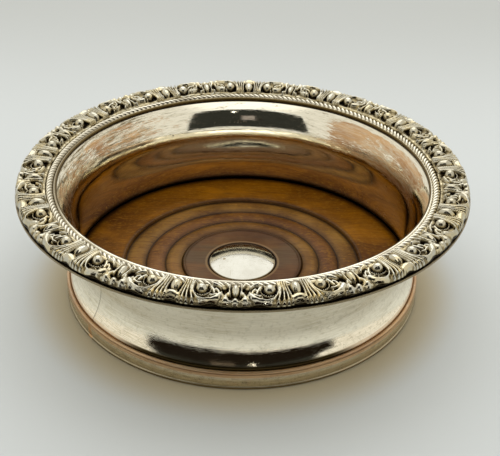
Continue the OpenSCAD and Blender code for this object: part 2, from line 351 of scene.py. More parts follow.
RUB_MARKS = make_group(rub_marks, Length=60.0, Fineness=14.0, Broken=0.5)
WEAR = make_group(wear_patches, Size=60.0, Flatness=3.0, Cover=0.5, Softness=0.08, Ragged=0.4)
PITS = make_group(pits, Spacing=120.0, Size=0.045, Share=0.4)

# %% [markdown]
# Old plate is silver over copper. Its silver is slightly warm, dull brown where polish
# never reaches, and pink where the copper shows. Metal colour could come from one Base
# Color, but then a worn lip would look like new chrome. So one function builds a plated
# finish from silver, tarnish and copper, and every plated piece gives it its own masks;
# some of those masks also lay painted shade in the tarnish colours.

# %% Plated metal
SILVER, RUBBED_SILVER = srgb(236, 231, 213), srgb(206, 198, 174)
TARNISH_AND_SHADE, DEEP_TARNISH_AND_SHADE = srgb(112, 94, 56), srgb(34, 25, 10)
BARE_COPPER, DARK_COPPER = srgb(218, 178, 130), srgb(172, 124, 78)


def plated_finish(tree, copper, tarnish_and_shade, streak_share, rough, fineness=14.0, silver=SILVER,
                  rubbed=RUBBED_SILVER, dark=TARNISH_AND_SHADE, deep_dirt_and_shade=0.0, dull=0.0, relief=0.0,
                  relief_depth=0.004, kept_share=0.45, streak_relief=1.0):
    """Silver with streaks, then tarnish and painted shade, then copper, each where its mask is 1.

    `rough` is the roughness of clean and of worn metal, `deep_dirt_and_shade` and `dull` are masks
    of the darkest dirt and painted shade and of frosted silver, and `kept_share` is how far streaks
    keep their plate.
    """
    streaks, haze = tree.use(RUB_MARKS, Fineness=fineness)
    bare = tree.mix(haze, BARE_COPPER, DARK_COPPER)
    # The tarnish and deep layers carry real tarnish and dirt, and painted shade where a finish's masks
    # put it.
    colour = tree.layers(
        silver, (streaks * streak_share, rubbed), (tarnish_and_shade, dark),
        (copper * (1.0 - streaks * kept_share), bare),
        (tree.most(tree.use(PITS) * 0.8, deep_dirt_and_shade), DEEP_TARNISH_AND_SHADE))
    worn = tree.most(streaks * 0.5, copper, tarnish_and_shade, dull)
    tree.set(Base_Color=colour, Roughness=worn.ramp(0.0, 1.0, *rough))
    tree.bump(streaks * streak_relief + relief - copper * (0.4 * streak_relief), relief_depth)
    return tree.material


print("plated finish: silver, tarnish and copper")

# %% [markdown]
# The side wall is one sheet, spun over a former: a foot that flares, a waist, a lip that
# opens and a flat brim. Its outline is a chain of arcs that meet without a kink, because a
# polished wall shows every kink in its reflections. A subdivided cage would be quicker to
# draw, but arcs keep the wall on its real sizes. The inner and outer faces are two finishes
# on one mesh, since only the inside is rubbed through to copper.

# %% Outline of the wall
BRIM_R, WALL_LOW, BRIM_Z = reach("side_wall")
SHEET_T = 0.8
WAIST_R, WAIST_Z = 64.9, 21.0
FOOT_CURVE_R, FOOT_LEAN = 20.8, 37.0
LEG_BEND_R = 1.0
BODY_CURVE_R, BODY_LEAN = 100.0, 5.7
LIP_CURVE_R, LIP_LEAN = 27.0, 42.0
BRIM_BEND_R = 2.5
TURN_BEND_R, TURNED_EDGE_W = 0.6, 6.0
EDGE_ROUND = 0.12


def hollow_at(middle, radius, lean):
    """Where the sheet leans by `lean` degrees, on an arc whose middle is outside it."""
    angle = math.radians(lean)
    return np.array([middle[0] - radius * math.cos(angle), middle[1] + radius * math.sin(angle)])


def hollow_curve(middle, radius, lean_0, lean_1, steps):
    """Points on such an arc, after its first one."""
    leans = np.linspace(lean_0, lean_1, steps + 1)[1:]
    return np.array([hollow_at(middle, radius, lean) for lean in leans])


def next_middle(middle, radius, lean, next_radius):
    """Middle of the arc that goes on where an arc has reached a lean."""
    return hollow_at(middle, radius, lean) - hollow_at(np.zeros(2), next_radius, lean)


foot_middle = np.array([WAIST_R + FOOT_CURVE_R, WAIST_Z])
body_middle = np.array([WAIST_R + BODY_CURVE_R, WAIST_Z])
lip_middle = next_middle(body_middle, BODY_CURVE_R, BODY_LEAN, LIP_CURVE_R)
brim_middle = next_middle(lip_middle, LIP_CURVE_R, LIP_LEAN, BRIM_BEND_R)
foot_end = hollow_at(foot_middle, FOOT_CURVE_R, -FOOT_LEAN)
foot_angle = math.radians(FOOT_LEAN)
leg_middle = foot_end - LEG_BEND_R * np.array([math.cos(foot_angle), math.sin(foot_angle)])
LEG_R = leg_middle[0] + LEG_BEND_R
LEG_OUTER_R = LEG_R + SHEET_T
turn_middle = (LEG_R - TURN_BEND_R, WALL_LOW + SHEET_T + TURN_BEND_R)


def wall_face(grow):
    """The sheet's face from the turned-in edge up to the brim; grow 0 is the inner face."""
    return np.concatenate([
        [[LEG_R - TURNED_EDGE_W, WALL_LOW + SHEET_T - grow]],
        arc(turn_middle, TURN_BEND_R + grow, -90, 0, 5),
        arc(leg_middle, LEG_BEND_R + grow, 0, FOOT_LEAN, 5),
        hollow_curve(foot_middle, FOOT_CURVE_R - grow, -FOOT_LEAN, 0, 20),
        hollow_curve(body_middle, BODY_CURVE_R - grow, 0, BODY_LEAN, 8),
        hollow_curve(lip_middle, LIP_CURVE_R - grow, BODY_LEAN, LIP_LEAN, 16),
        hollow_curve(brim_middle, BRIM_BEND_R - grow, LIP_LEAN, 90, 8)])


inner_face, outer_face = wall_face(0.0), wall_face(SHEET_T)
brim_edge = np.concatenate([
    arc((BRIM_R - EDGE_ROUND, BRIM_Z - EDGE_ROUND), EDGE_ROUND, 90, 0, 4),
    arc((BRIM_R - EDGE_ROUND, BRIM_Z - SHEET_T + EDGE_ROUND), EDGE_ROUND, 0, -90, 4)])
print("waist", WAIST_R, "mm, brim", round(BRIM_R, 2), "mm, leg", round(LEG_OUTER_R, 2), "mm")


# %% Finish of the inner face
# Two levels for each trace of use or of painted shade, from where it starts to where it is
# full. Worn sides have a direction in degrees, half the width of the full wear and half the
# width of all of it.
LIP_WEAR, LOW_WEAR, TOP_WEAR_END = (36.0, 39.5), (31.0, 36.0), (46.0, 45.0)
JOINT_STAIN_AND_SHADE, JOINT_DIRT_AND_SHADE, BEAD_SHADOW = (12.2, 9.6), (10.9, 9.9), (46.4, 46.8)
RIGHT_HAND, LEFT_HAND = (30, 20, 37), (166, 30, 52)


def facing(tree, angle, full, none):
    """1 within `full` degrees of a direction round the axis, 0 beyond `none` degrees."""
    cosine, sine = math.cos(math.radians(angle)), math.sin(math.radians(angle))
    share = (tree.x * cosine + tree.y * sine) / (tree.radius * MM)
    return share.ramp(math.cos(math.radians(none)), math.cos(math.radians(full)))


def make_inner_plate():
    tree = Finish("plate_inside", 1.0, 0.1)
    height = tree.height
    lip = height.ramp(*LIP_WEAR)
    worn_right, worn_left = facing(tree, *RIGHT_HAND), facing(tree, *LEFT_HAND)
    low_right = worn_right * height.ramp(*LOW_WEAR)
    cover = tree.most((worn_left * 0.52 + 0.08) * lip, low_right * 0.88)
    cover = cover * height.ramp(*TOP_WEAR_END)
    copper = tree.use(WEAR, Size=60.0, Flatness=3.6, Cover=cover, Softness=0.10, Ragged=1.1) * 0.95
    # A band of painted shadow under the bead wire, laid in the tarnish colours.
    bead_shadow = height.ramp(*BEAD_SHADOW)
    stain = tree.use(WEAR, Size=120.0, Flatness=6.0, Cover=0.40, Softness=0.16)
    lined = tree.use(WEAR, Size=110.0, Flatness=16.0, Cover=worn_left * 0.5, Softness=0.06, Ragged=0.6)
    # Just above the wood the wall gets tarnish and painted shade where the waist overhangs the joint.
    tarnish_and_shade = tree.most(height.ramp(*JOINT_STAIN_AND_SHADE), bead_shadow * 0.9, stain * (lip * 0.5),
                        lined * (lip * worn_left) * 0.9)
    handled = tree.most(worn_right, worn_left)
    return plated_finish(tree, copper, tarnish_and_shade, handled * 0.5 + 0.5, (0.035, 0.30), kept_share=0.75,
                         silver=srgb(246, 240, 222), rubbed=srgb(220, 212, 188),
                         deep_dirt_and_shade=tree.most(height.ramp(*JOINT_DIRT_AND_SHADE), bead_shadow * 0.5),
                         dull=handled * (lip * 0.25))


inner_plate = make_inner_plate()
print("finish:", inner_plate.name)

# %% Finish of the outer face
SEAM_ANGLE, SEAM_WANDER, SEAM_W = 218.3, 1.2, 0.8
UNDER_RIM_TARNISH_AND_SHADE, FOOT_BEND, FOOT_SHADE = (33.0, 42.0), (9.5, 9.0), (9.2, 8.9)
FRONT_SHADE_SIDE = (270, 28, 42)
EDGE_STAIN = (0.4, 0.15)


def seam_line(tree, half_width):
    """1 on the upright joint of the sheet, which wanders a little to both sides."""
    cosine, sine = math.cos(math.radians(SEAM_ANGLE)), math.sin(math.radians(SEAM_ANGLE))
    wander = (tree.vector.noise(40.0) - 0.5) * (SEAM_WANDER * MM)
    off = tree.math("ABSOLUTE", tree.x * sine - tree.y * cosine + wander)
    return off.ramp(half_width * MM, 0.3 * half_width * MM) * facing(tree, SEAM_ANGLE, 5, 10)


def make_outer_plate():
    tree = Finish("plate_outside", 1.0, 0.1)
    # Under the rim the wall darkens with tarnish and painted shade.
    rim_tarnish_and_shade, front_shade = tree.height.ramp(*UNDER_RIM_TARNISH_AND_SHADE), facing(tree, *FRONT_SHADE_SIDE)
    stain = tree.use(WEAR, Size=70.0, Flatness=6.0, Cover=0.46, Softness=0.25)
    grain = tree.vector.noise(620.0, 3.0, 0.7).ramp(0.5, 0.7, 0.0, 0.2)
    brown = stain * (rim_tarnish_and_shade * 0.4 + 0.26) + rim_tarnish_and_shade * 0.16 + grain
    # At the foot bend and just above the wire the front side gets painted shade; the other sides get
    # copper wear there.
    bend = tree.height.ramp(*FOOT_BEND)
    edge = tree.radius.ramp(BRIM_R - EDGE_STAIN[0], BRIM_R - EDGE_STAIN[1], 0.0, 0.85)
    worn = tree.use(WEAR, Size=50.0, Flatness=5.0, Cover=0.26, Softness=0.2)
    copper = tree.most(worn * 0.3, bend * (1.0 - front_shade) * 0.5)
    deep_dirt_and_shade = tree.most(seam_line(tree, SEAM_W / 2) * 0.6, tree.height.ramp(*FOOT_SHADE) * front_shade) * 0.75
    return plated_finish(tree, copper, tree.most(brown, bend * front_shade, edge), 0.75, (0.06, 0.28),
                         fineness=34.0, silver=srgb(252, 243, 221), rubbed=srgb(215, 202, 171),
                         deep_dirt_and_shade=deep_dirt_and_shade, relief_depth=0.006)


outer_plate = make_outer_plate()
print("finish:", outer_plate.name)

# %% Build the wall
WALL_WAVE = 0.05


def dress(piece, node):
    """Let a piece stand for a node of the frame: hide the node and hang the piece on the root."""
    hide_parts(node)
    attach(piece, "root")
    return piece


def add_side_wall():
    outline = np.concatenate([inner_face, brim_edge, outer_face[::-1]])
    points, faces = turned_ring(outline)
    angle, level = np.arctan2(points[..., 1], points[..., 0]), points[..., 2]
    free = np.clip(np.sin(math.pi * (level - WALL_LOW) / (BRIM_Z - WALL_LOW)), 0, 1)
    wave = WALL_WAVE * free * (np.sin(3 * angle + 0.6) + 0.7 * np.sin(7 * angle + level / 6)
                               + 0.4 * np.sin(13 * angle - level / 4))
    points[..., :2] *= (1 + wave / np.hypot(points[..., 0], points[..., 1]))[..., None]
    wall = make_object("side_wall_sheet", points, faces, inner_plate, outer_plate, sharp=40)
    outside = np.tile(np.arange(len(outline)) >= len(inner_face), RING_STEPS)
    wall.data.polygons.foreach_set("material_index", outside.astype(np.int32))
    return dress(wall, "side_wall")


wall = add_side_wall()
print("wall:", len(wall.data.polygons), "faces")

# %% [markdown]
# The foot is a separate swelled band soldered round the leg, with a wire over its top edge.
# Table tops and polishing wear a foot most, so the wire is nearly all copper, the band is
# dull and scratched, and dirt sits along its lower bead. Both are turned outlines, since a
# bevelled curve could not hold the band's flat inner side against the leg.

# %% Foot band
BAND_OUTER_R, FOOT_LIFT, BAND_H = reach("foot_band")
BAND_SWELL, BAND_BEAD_R, BAND_BEAD_END = 0.4, 0.6, 60
BAND_DIRT, BAND_TOP_WEAR, SOLDER_W = (2.1, 0.9), (1.5, 0.7), 3.6


def make_foot_finish():
    tree = Finish("plate_foot", 1.0, 0.2)
    patch = tree.use(WEAR, Size=70.0, Flatness=2.0, Cover=0.4, Softness=0.3)
    lines = tree.vector.scaled(6.0, 6.0, 900.0).noise(1.0, 2.0).band(0.55, 0.70, 0.08)
    mottled = tree.vector.noise(420.0, 4.0, 0.7).ramp(0.48, 0.66)
    tarnish_and_shade = tree.most(patch * 0.3 + lines * 0.12 + mottled * 0.3, tree.height.ramp(*BAND_DIRT))
    worn = tree.use(WEAR, Size=45.0, Flatness=1.5, Cover=0.42, Softness=0.25)
    top = tree.height.ramp(BAND_H - BAND_TOP_WEAR[0], BAND_H - BAND_TOP_WEAR[1])
    copper = tree.most(worn * 0.5, top * 0.8, seam_line(tree, SOLDER_W / 2))
    return plated_finish(tree, copper, tarnish_and_shade, 0.8, (0.2, 0.45), relief_depth=0.02,
                         silver=srgb(224, 214, 188), rubbed=srgb(184, 172, 142))


def add_foot_band():
    band_r = BAND_OUTER_R - BAND_SWELL
    bead = (band_r - BAND_BEAD_R + BAND_SWELL, FOOT_LIFT + BAND_BEAD_R)
    face_z = bead[1] + BAND_BEAD_R
    share = np.linspace(0, 1, 17)
    face = np.stack([band_r + BAND_SWELL * np.sin(math.pi * share),
                     face_z + (BAND_H - face_z) * share], axis=1)
    outline = np.concatenate([[[LEG_OUTER_R, FOOT_LIFT]], arc(bead, BAND_BEAD_R, -90, BAND_BEAD_END),
                              face, [[LEG_OUTER_R, BAND_H]]])
    band = make_object("foot_band_moulding", *turned_ring(outline), make_foot_finish(), sharp=50)
    return dress(band, "foot_band")


add_foot_band()
print("foot band:", round(BAND_OUTER_R, 2), "mm radius,", round(BAND_H - FOOT_LIFT, 2), "mm high")


# %% Foot wire
def make_worn_wire():
    tree = Finish("worn_copper_wire", 1.0, 0.25)
    silver_left = tree.use(WEAR, Size=90.0, Flatness=1.0, Cover=0.34, Softness=0.2)
    wire_low = reach("foot_wire")[1]
    seat = tree.height.ramp(wire_low + 0.3, wire_low + 0.05)
    tarnish_and_shade = tree.most(seat, tree.vector.noise(150.0) * 0.2)
    return plated_finish(tree, 0.86 - silver_left * 0.45, tarnish_and_shade, 0.6, (0.32, 0.5), deep_dirt_and_shade=seat * 0.25)


def add_wire(name, node, material, sides=24):
    """A plain round wire that lies where the node is."""
    outer_r, low, high = reach(node)
    wire_r = (high - low) / 2
    outline = arc((outer_r - wire_r, low + wire_r), wire_r, 0, 360 - 360 / sides, sides - 1)
    print(name, "is", round(2 * wire_r, 2), "mm thick")
    return dress(make_object(name, *turned_ring(outline), material), node)


add_wire("foot_wire_ring", "foot_wire", make_worn_wire())

# %% [markdown]
# Two wires finish the mouth. A plain bead wire lies in the bend of the lip, and a flat wire
# milled with slanted nicks lies on the brim beside it. A rope of real strands would be too
# deep, since the real one is rolled: a half round section that swells and thins once a tick,
# with each row turned a little further than the last, gives the slant. Dirt stays in the
# nicks, so each point keeps how deep it lies, and the finish reads that as a mask.

# %% Finish of the rim wires
def keep_mask(piece, name, values):
    """Store one number for each point of a mesh, for its finish to read."""
    attribute = piece.data.attributes.new(name, "FLOAT", "POINT")
    attribute.data.foreach_set("value", values.ravel())


def make_wire_finish(name, streaks, dark_to, dull_share):
    """Plate with dirty nicks, dark out to the radius `dark_to`, and dull at the left."""
    tree = Finish(name, 1.0, 0.15)
    nick = tree.attribute("hollow")
    grime = (tree.vector.noise(90.0, 4.0) * 0.3).ramp(0.13, 0.24, 0.0, 0.6)
    dark_side = tree.radius.ramp(dark_to + 0.1, dark_to - 0.1)
    tarnish_and_shade = tree.most(nick, grime, dark_side, facing(tree, 174, 24, 50) * dull_share)
    worn = tree.use(WEAR, Size=110.0, Flatness=1.0, Cover=0.25, Softness=0.2)
    return plated_finish(tree, worn * 0.4, tarnish_and_shade, streaks, (0.14, 0.4), silver=srgb(236, 230, 212),
                         deep_dirt_and_shade=tree.most(nick * 0.75, dark_side * 0.4))


bead_out_r, bead_low, bead_high = reach("bead_wire")
bead_middle_r = bead_out_r - (bead_high - bead_low) / 2
add_wire("bead_wire_ring", "bead_wire",
         make_wire_finish("plate_bead", 0.4, bead_middle_r, 0.75))

# %% Milled wire
MILLED_TICKS, MILLED_W = 216, 2.6
NICK_SHARE, SLANT_SHARE = 0.62, 1.6
STEPS_PER_TICK, MILLED_SIDES = 10, 12


def add_milled_wire():
    outer_r, low, high = reach("milled_wire")
    rows = MILLED_TICKS * STEPS_PER_TICK
    row = np.arange(rows)[:, None]
    side = np.linspace(0, 1, MILLED_SIDES + 1)[None, :]
    swell = np.abs(np.sin(math.pi * row / STEPS_PER_TICK)) ** 0.7
    size = NICK_SHARE + (1 - NICK_SHARE) * swell
    foot = np.minimum(side, 1 - side) * 4
    size = np.where(foot < 1, size + (1 - size) * (1 - foot), size)
    slant = (side - 0.5) * SLANT_SHARE * TURN / MILLED_TICKS
    section = math.pi * (1 - side)
    radius = outer_r - MILLED_W / 2 + (0.5 + 0.5 * size) * MILLED_W / 2 * np.cos(section)
    angle = TURN * row / rows + slant
    level = low + size * (high - low) * np.clip(np.sin(section), 0, 1) ** 0.6
    wire = make_object("milled_wire_ring", around(radius, angle, level),
                       grid_faces(rows, MILLED_SIDES + 1)[:, ::-1],
                       make_wire_finish("plate_milled", 0.3, outer_r - MILLED_W - 1, 0.35))
    keep_mask(wire, "hollow", (1 - swell) ** 1.3 * np.ones_like(side))
    return dress(wire, "milled_wire")


milled_wire = add_milled_wire()
print("milled wire:", MILLED_TICKS, "ticks,", len(milled_wire.data.polygons), "faces")

# %% [markdown]
# The border was stamped in a steel die. An oval boss stands between two bands of five reeds.
# The last reed runs out under a round boss in a leafy collar, scrolls and curls follow, and
# a fluted shell closes the unit where it meets the next. Sculpting each of thirteen units by
# hand would never match. A stamping is a height above a flat seat, so half a unit is drawn
# as a height map of domes and ridges, then mirrored and repeated round the rim. Along and
# out are in millimetres, from the middle of the oval boss and from the inner edge.

# %% Size of the border
BORDER_UNITS = 13
BORDER_GAP = 0.05
BORDER_OUT_R, BORDER_LOW, BORDER_HIGH = reach("rim_border")
BORDER_IN_R = reach("milled_wire")[0] + BORDER_GAP
BORDER_W = BORDER_OUT_R - BORDER_IN_R
BORDER_TOP = BORDER_HIGH - BORDER_LOW
HALF_UNIT = math.pi * (BORDER_IN_R + BORDER_OUT_R) / 2 / BORDER_UNITS
HALF_STEPS, ACROSS_STEPS = 132, 84
print("half a unit is", round(HALF_UNIT, 2), "mm long and", round(BORDER_W, 2), "mm wide")


# %% Domes and ridges
def dome(along, out, at, half, top, foot=0.8):
    """A boss over an oval: its height is `top` at the middle and `foot` at the edge."""
    share = np.hypot((along - at[0]) / half[0], (out - at[1]) / half[1])
    return np.where(share < 1, foot + (top - foot) * np.clip(1 - share ** 2, 0, 1) ** 0.5, 0)


def smooth_path(corners, steps=10):
    """Points on a smooth curve through the corners."""
    corners = np.asarray(corners, float)
    before, after = 2 * corners[0] - corners[1], 2 * corners[-1] - corners[-2]
    padded = np.concatenate([[before], corners, [after]])
    t = np.linspace(0, 1, steps, endpoint=False)[:, None]
    path = []
    for a, b, c, d in zip(padded[:-3], padded[1:-2], padded[2:-1], padded[3:]):
        path.append(0.5 * (2 * b + (c - a) * t + (2 * a - 5 * b + 4 * c - d) * t ** 2
                           + (3 * b - a - 3 * c + d) * t ** 3))
    return np.concatenate(path + [corners[-1:]])


def ridge(along, out, corners, half_width, top, foot=0.8, beads=0):
    """A rounded ridge through the corners; width and top are pairs, for its two ends."""
    path = smooth_path(corners)
    height = np.zeros_like(along)
    share = np.linspace(0, 1, len(path))
    for i in range(len(path) - 1):
        step = path[i + 1] - path[i]
        t = ((along - path[i, 0]) * step[0] + (out - path[i, 1]) * step[1]) / max(step @ step, 1e-9)
        t = np.clip(t, 0, 1)
        distance = np.hypot(along - path[i, 0] - t * step[0], out - path[i, 1] - t * step[1])
        place = share[i] + t * (share[i + 1] - share[i])
        width = half_width[0] + (half_width[1] - half_width[0]) * place
        nick = 0.5 * np.cos(math.pi * beads * place) ** 2 * (beads > 0)
        peak = top[0] + (top[1] - top[0]) * place - nick
        rise = np.clip(1 - (distance / width) ** 2, 0, 1) ** 0.6
        height = np.maximum(height, np.where(distance < width, foot + (peak - foot) * rise, 0))
    return height


def bells(along, hills):
    """A sum of bell curves, each given by its place, half width and height."""
    return sum(height * np.exp(-((along - at) / half) ** 2) for at, half, height in hills)


print("one ridge has", len(smooth_path([(0, 0), (1, 0), (2, 0)])), "points for three corners")

# %% The pattern of half a unit
BED_SHARES, BED_HEIGHTS = (0, 0.15, 0.65, 0.88, 1), (1.2, 1.3, 1.3, 1.6, 1.6)
LOWEST_BED = 0.4
REEDS = [[(2.60, 0.2), (2.62, 4.0), (2.45, 7.6), (2.25, 11.1)],
         [(3.40, 0.2), (3.42, 4.0), (3.40, 7.6), (3.50, 11.1)],
         [(4.20, 0.2), (4.22, 4.0), (4.45, 7.4), (5.00, 11.1)],
         [(4.98, 0.3), (5.00, 3.6), (5.50, 6.9), (6.80, 10.9)],
         [(5.70, 0.6), (5.62, 3.2), (6.20, 6.6), (7.80, 9.3), (10.0, 10.4), (12.0, 10.0)]]
REED_HALF_WIDTHS, REED_TOPS, REED_FOOT_H = (0.33, 0.44), (3.1, 3.4), 1.8
FIRST_REED_BEADS = 13
OVAL_BOSS, ROUND_BOSS = ((0.0, 4.1), (2.0, 3.45)), ((8.6, 4.3), (2.1, 2.1))
SHELL_MIDDLE_PETAL = ((HALF_UNIT, 4.4), (1.5, 3.4), 4.1)
FLUTE_PITCH, FLUTE_D, FLUTE_RISE = 1.25, 0.35, (4.4, 5.9)
COLLAR_R, COLLAR_W, COLLAR_LEAVES, COLLAR_H = 3.0, 0.32, 24, 2.5
EDGE_LOBES = [((0.0, 9.3), (2.9, 2.2), 3.7), ((16.8, 9.7), (1.5, 1.9), 3.4),
              ((HALF_UNIT, 9.9), (1.3, 1.7), 3.1)]
SCROLLS = [([(9.2, 10.6), (11.8, 10.3), (13.6, 9.5), (15.0, 8.1)], (0.8, 1.7), (2.8, 4.0)),
           ([(17.95, 1.0), (17.8, 4.0), (18.1, 7.6)], (0.36, 0.42), (3.3, 3.4)),
           ([(17.6, 5.8), (17.0, 7.2), (16.8, 8.4)], (0.6, 0.95), (2.7, 3.4)),
           ([(15.2, 5.4), (15.6, 7.0), (15.9, 8.6)], (0.55, 0.8), (2.7, 3.2)),
           ([(12.3, 1.7), (13.8, 2.1), (15.1, 3.3)], (0.95, 0.55), (3.5, 3.0)),
           ([(11.6, 3.0), (12.5, 4.4), (13.0, 6.0)], (0.9, 0.6), (2.9, 2.6)),
           ([(13.3, 3.9), (14.2, 4.8), (14.5, 6.2)], (0.7, 0.5), (2.8, 2.5)),
           ([(11.6, 6.7), (12.6, 7.3), (14.0, 6.9)], (0.5, 0.8), (2.3, 3.0)),
           ([(16.5, 1.0), (17.0, 1.5), (17.3, 2.3)], (0.6, 0.45), (2.9, 2.6))]
BERRIES = [(15.3, 10.4), (18.3, 10.2), (2.2, 7.7), (1.1, 7.7), (10.6, 1.6), (11.4, 8.4)]
BERRY_SIZE, BERRY_H = (0.45, 0.45), 2.9
HOLLOWS = [(OVAL_BOSS[0], 3.2, 0.6), (ROUND_BOSS[0], 3.2, 0.8), ((16.6, 3.9), 1.5, 0.9),
           ((10.9, 4.4), 0.9, 0.5)]
EDGE_NOTCHES = [(0.0, 2.0, 0.5), (13.2, 1.4, 0.45), (15.2, 0.4, 0.3), (18.3, 0.4, 0.25)]
SHADE_FOOT_H = 0.5
EDGE_SHADES = [(0.0, 1.7, 0.8), (12.2, 2.3, 1.0), (16.8, 0.9, 0.7), (HALF_UNIT, 0.8, 0.7)]


def share_of(value, low, high):
    """How far a value has come from low to high, from 0 to 1."""
    return np.clip((value - low) / (high - low), 0, 1)


def border_bed(along, out):
    """The ground between the motifs: raised along the edge, sunk where a boss sits."""
    height = np.interp(out / BORDER_W, BED_SHARES, BED_HEIGHTS)
    for at, half, depth in HOLLOWS:
        height = height - depth * np.exp(-(np.hypot(along - at[0], out - at[1]) / half) ** 4)
    return np.maximum(height, LOWEST_BED)


def collar(along, out):
    """The ring of small leaves round the outer side of the round boss."""
    x, y = along - ROUND_BOSS[0][0], out - ROUND_BOSS[0][1]
    off = np.abs(np.hypot(x, y) - COLLAR_R) / COLLAR_W
    leafy = 0.65 + 0.35 * np.abs(np.cos(COLLAR_LEAVES / 2 * np.arctan2(x, y)))
    return np.where(y > -0.4, COLLAR_H * leafy * np.exp(-off ** 2), 0)


def half_unit_height(along, out):
    """The highest of all the motifs at each point."""
    spot = along, out
    flute = FLUTE_D * np.sin(math.pi * along / FLUTE_PITCH) ** 2 * share_of(out, *FLUTE_RISE)
    reed_beads = [FIRST_REED_BEADS] + [0] * (len(REEDS) - 1)
    return np.max([
        border_bed(*spot), collar(*spot), dome(*spot, *ROUND_BOSS, BORDER_TOP, foot=1.2),
        dome(*spot, *OVAL_BOSS, BORDER_TOP) - flute, dome(*spot, *SHELL_MIDDLE_PETAL) - flute,
        *[ridge(*spot, path, REED_HALF_WIDTHS, REED_TOPS, REED_FOOT_H, beads)
          for path, beads in zip(REEDS, reed_beads)],
        *[ridge(*spot, *scroll) for scroll in SCROLLS], *[dome(*spot, *lobe) for lobe in EDGE_LOBES],
        *[dome(*spot, at, BERRY_SIZE, BERRY_H) for at in BERRIES]], axis=0)


print("half a unit has", len(REEDS), "reeds,", len(SCROLLS), "scrolls and", len(BERRIES), "berries")

# %% From half a unit to the whole border
FALL_H, INNER_ROUND, OUTER_ROUND = 0.35, 0.3, 1.4
UNEVEN_H = 0.07


def blurred(height, rows, columns):
    """The height map softened by a bell of so many steps, round the ring and across it."""
    for axis, spread in ((0, rows), (1, columns)):
        size = int(3 * spread) + 1
        weight = np.exp(-0.5 * (np.arange(-size, size + 1) / spread) ** 2)
        weight /= weight.sum()
        pad = [(size, size) if i == axis else (0, 0) for i in (0, 1)]
        padded = np.pad(height, pad, mode="wrap" if axis == 0 else "edge")
        height = sum(w * np.take(padded, np.arange(height.shape[axis]) + i, axis)
                     for i, w in enumerate(weight))
    return height


def rounding(distance, size):
    """0 on an edge, rising over a quarter round of this size to 1."""
    return np.sqrt(1 - (1 - share_of(distance, 0, size)) ** 2)


def uneven(shape):
    """What the die and the wear leave: fine and broad unevenness, the same on every run."""
    dice = np.random.default_rng(12)
    maps = [blurred(dice.normal(0, 1, shape), *spread) for spread in ((4, 4), (80, 24))]
    return sum(UNEVEN_H * height / height.std() for height in maps)


def hollow_and_shade_mask(relief, height, share, shade):
    """Where tarnish stays beside the crests and in the low ground, with painted shade on steep sides
    and a painted shadow under the outer edge.
    """
    slope = np.hypot(np.gradient(relief, HALF_UNIT / HALF_STEPS, axis=0),
                     np.gradient(relief, BORDER_W * share, axis=1))
    # The slope term is painted shade on steep sides; the rest is tarnish in hollows and low ground.
    hollow = (0.8 * share_of(blurred(relief, 4, 4) - relief, 0, 0.5)
              + share_of(blurred(relief, 14, 14) - relief, 0, 1.1)
              + 0.4 * share_of(2.1 - relief, 0, 1.1) + 0.8 * share_of(slope, 1.3, 2.7) * (share < 0.8))
    hollow = hollow * np.interp(share, (0, 0.05, 0.12, 0.8, 0.9), (0.3, 0.3, 1, 1, 0.8))
    # Painted shadow under the outer edge, up to the shade level of each row.
    edge_shadow = 0.8 * share_of(shade[:, None] - height, 0, 0.3) * (share > 0.85)
    return np.clip(hollow / 2 + edge_shadow, 0, 1)


def border_maps():
    """Share across, reach, height, a mask of hollows and painted shade, and a crest mask, with a row
    for each step round.
    """
    half_row = np.linspace(0, HALF_UNIT, HALF_STEPS + 1)
    share = 1 - np.linspace(1, 0, ACROSS_STEPS + 1) ** 1.5
    edge = BORDER_W - bells(half_row, EDGE_NOTCHES)
    along, out = np.meshgrid(half_row, share, indexing="ij")
    out = out * edge[:, None]
    fall = rounding(out, INNER_ROUND) * rounding(edge[:, None] - out, OUTER_ROUND)
    count = 2 * HALF_STEPS
    fold = np.arange(BORDER_UNITS * count) % count
    fold = np.minimum(fold, count - fold)
    relief, fall, edge = half_unit_height(along, out)[fold], fall[fold], edge[fold]
    shade = (SHADE_FOOT_H + bells(half_row, EDGE_SHADES))[fold]
    relief = blurred(relief + uneven(relief.shape) * share_of(1 - share, 0, 0.2), 0.7, 0.7)
    relief = relief + (blurred(relief, 1.4, 1.4) - relief) * share_of(share, 0.76, 0.86)
    relief = np.clip(relief, 0.3, None) * BORDER_TOP / max(BORDER_TOP, relief.max())
    height = FALL_H + (relief - FALL_H) * fall
    crest = share_of(relief - blurred(relief, 7, 7), 0, 0.5)
    return share, edge, height, hollow_and_shade_mask(relief, height, share, shade), crest


print("the border's map has", 2 * HALF_STEPS * BORDER_UNITS, "rows of", ACROSS_STEPS + 1, "points")

# %% Finish of the border
BORDER_SILVER, BORDER_COOL = srgb(224, 211, 176), srgb(212, 208, 192)
BORDER_RUBBED, BORDER_TARNISH_AND_SHADE = srgb(186, 174, 138), srgb(152, 139, 107)


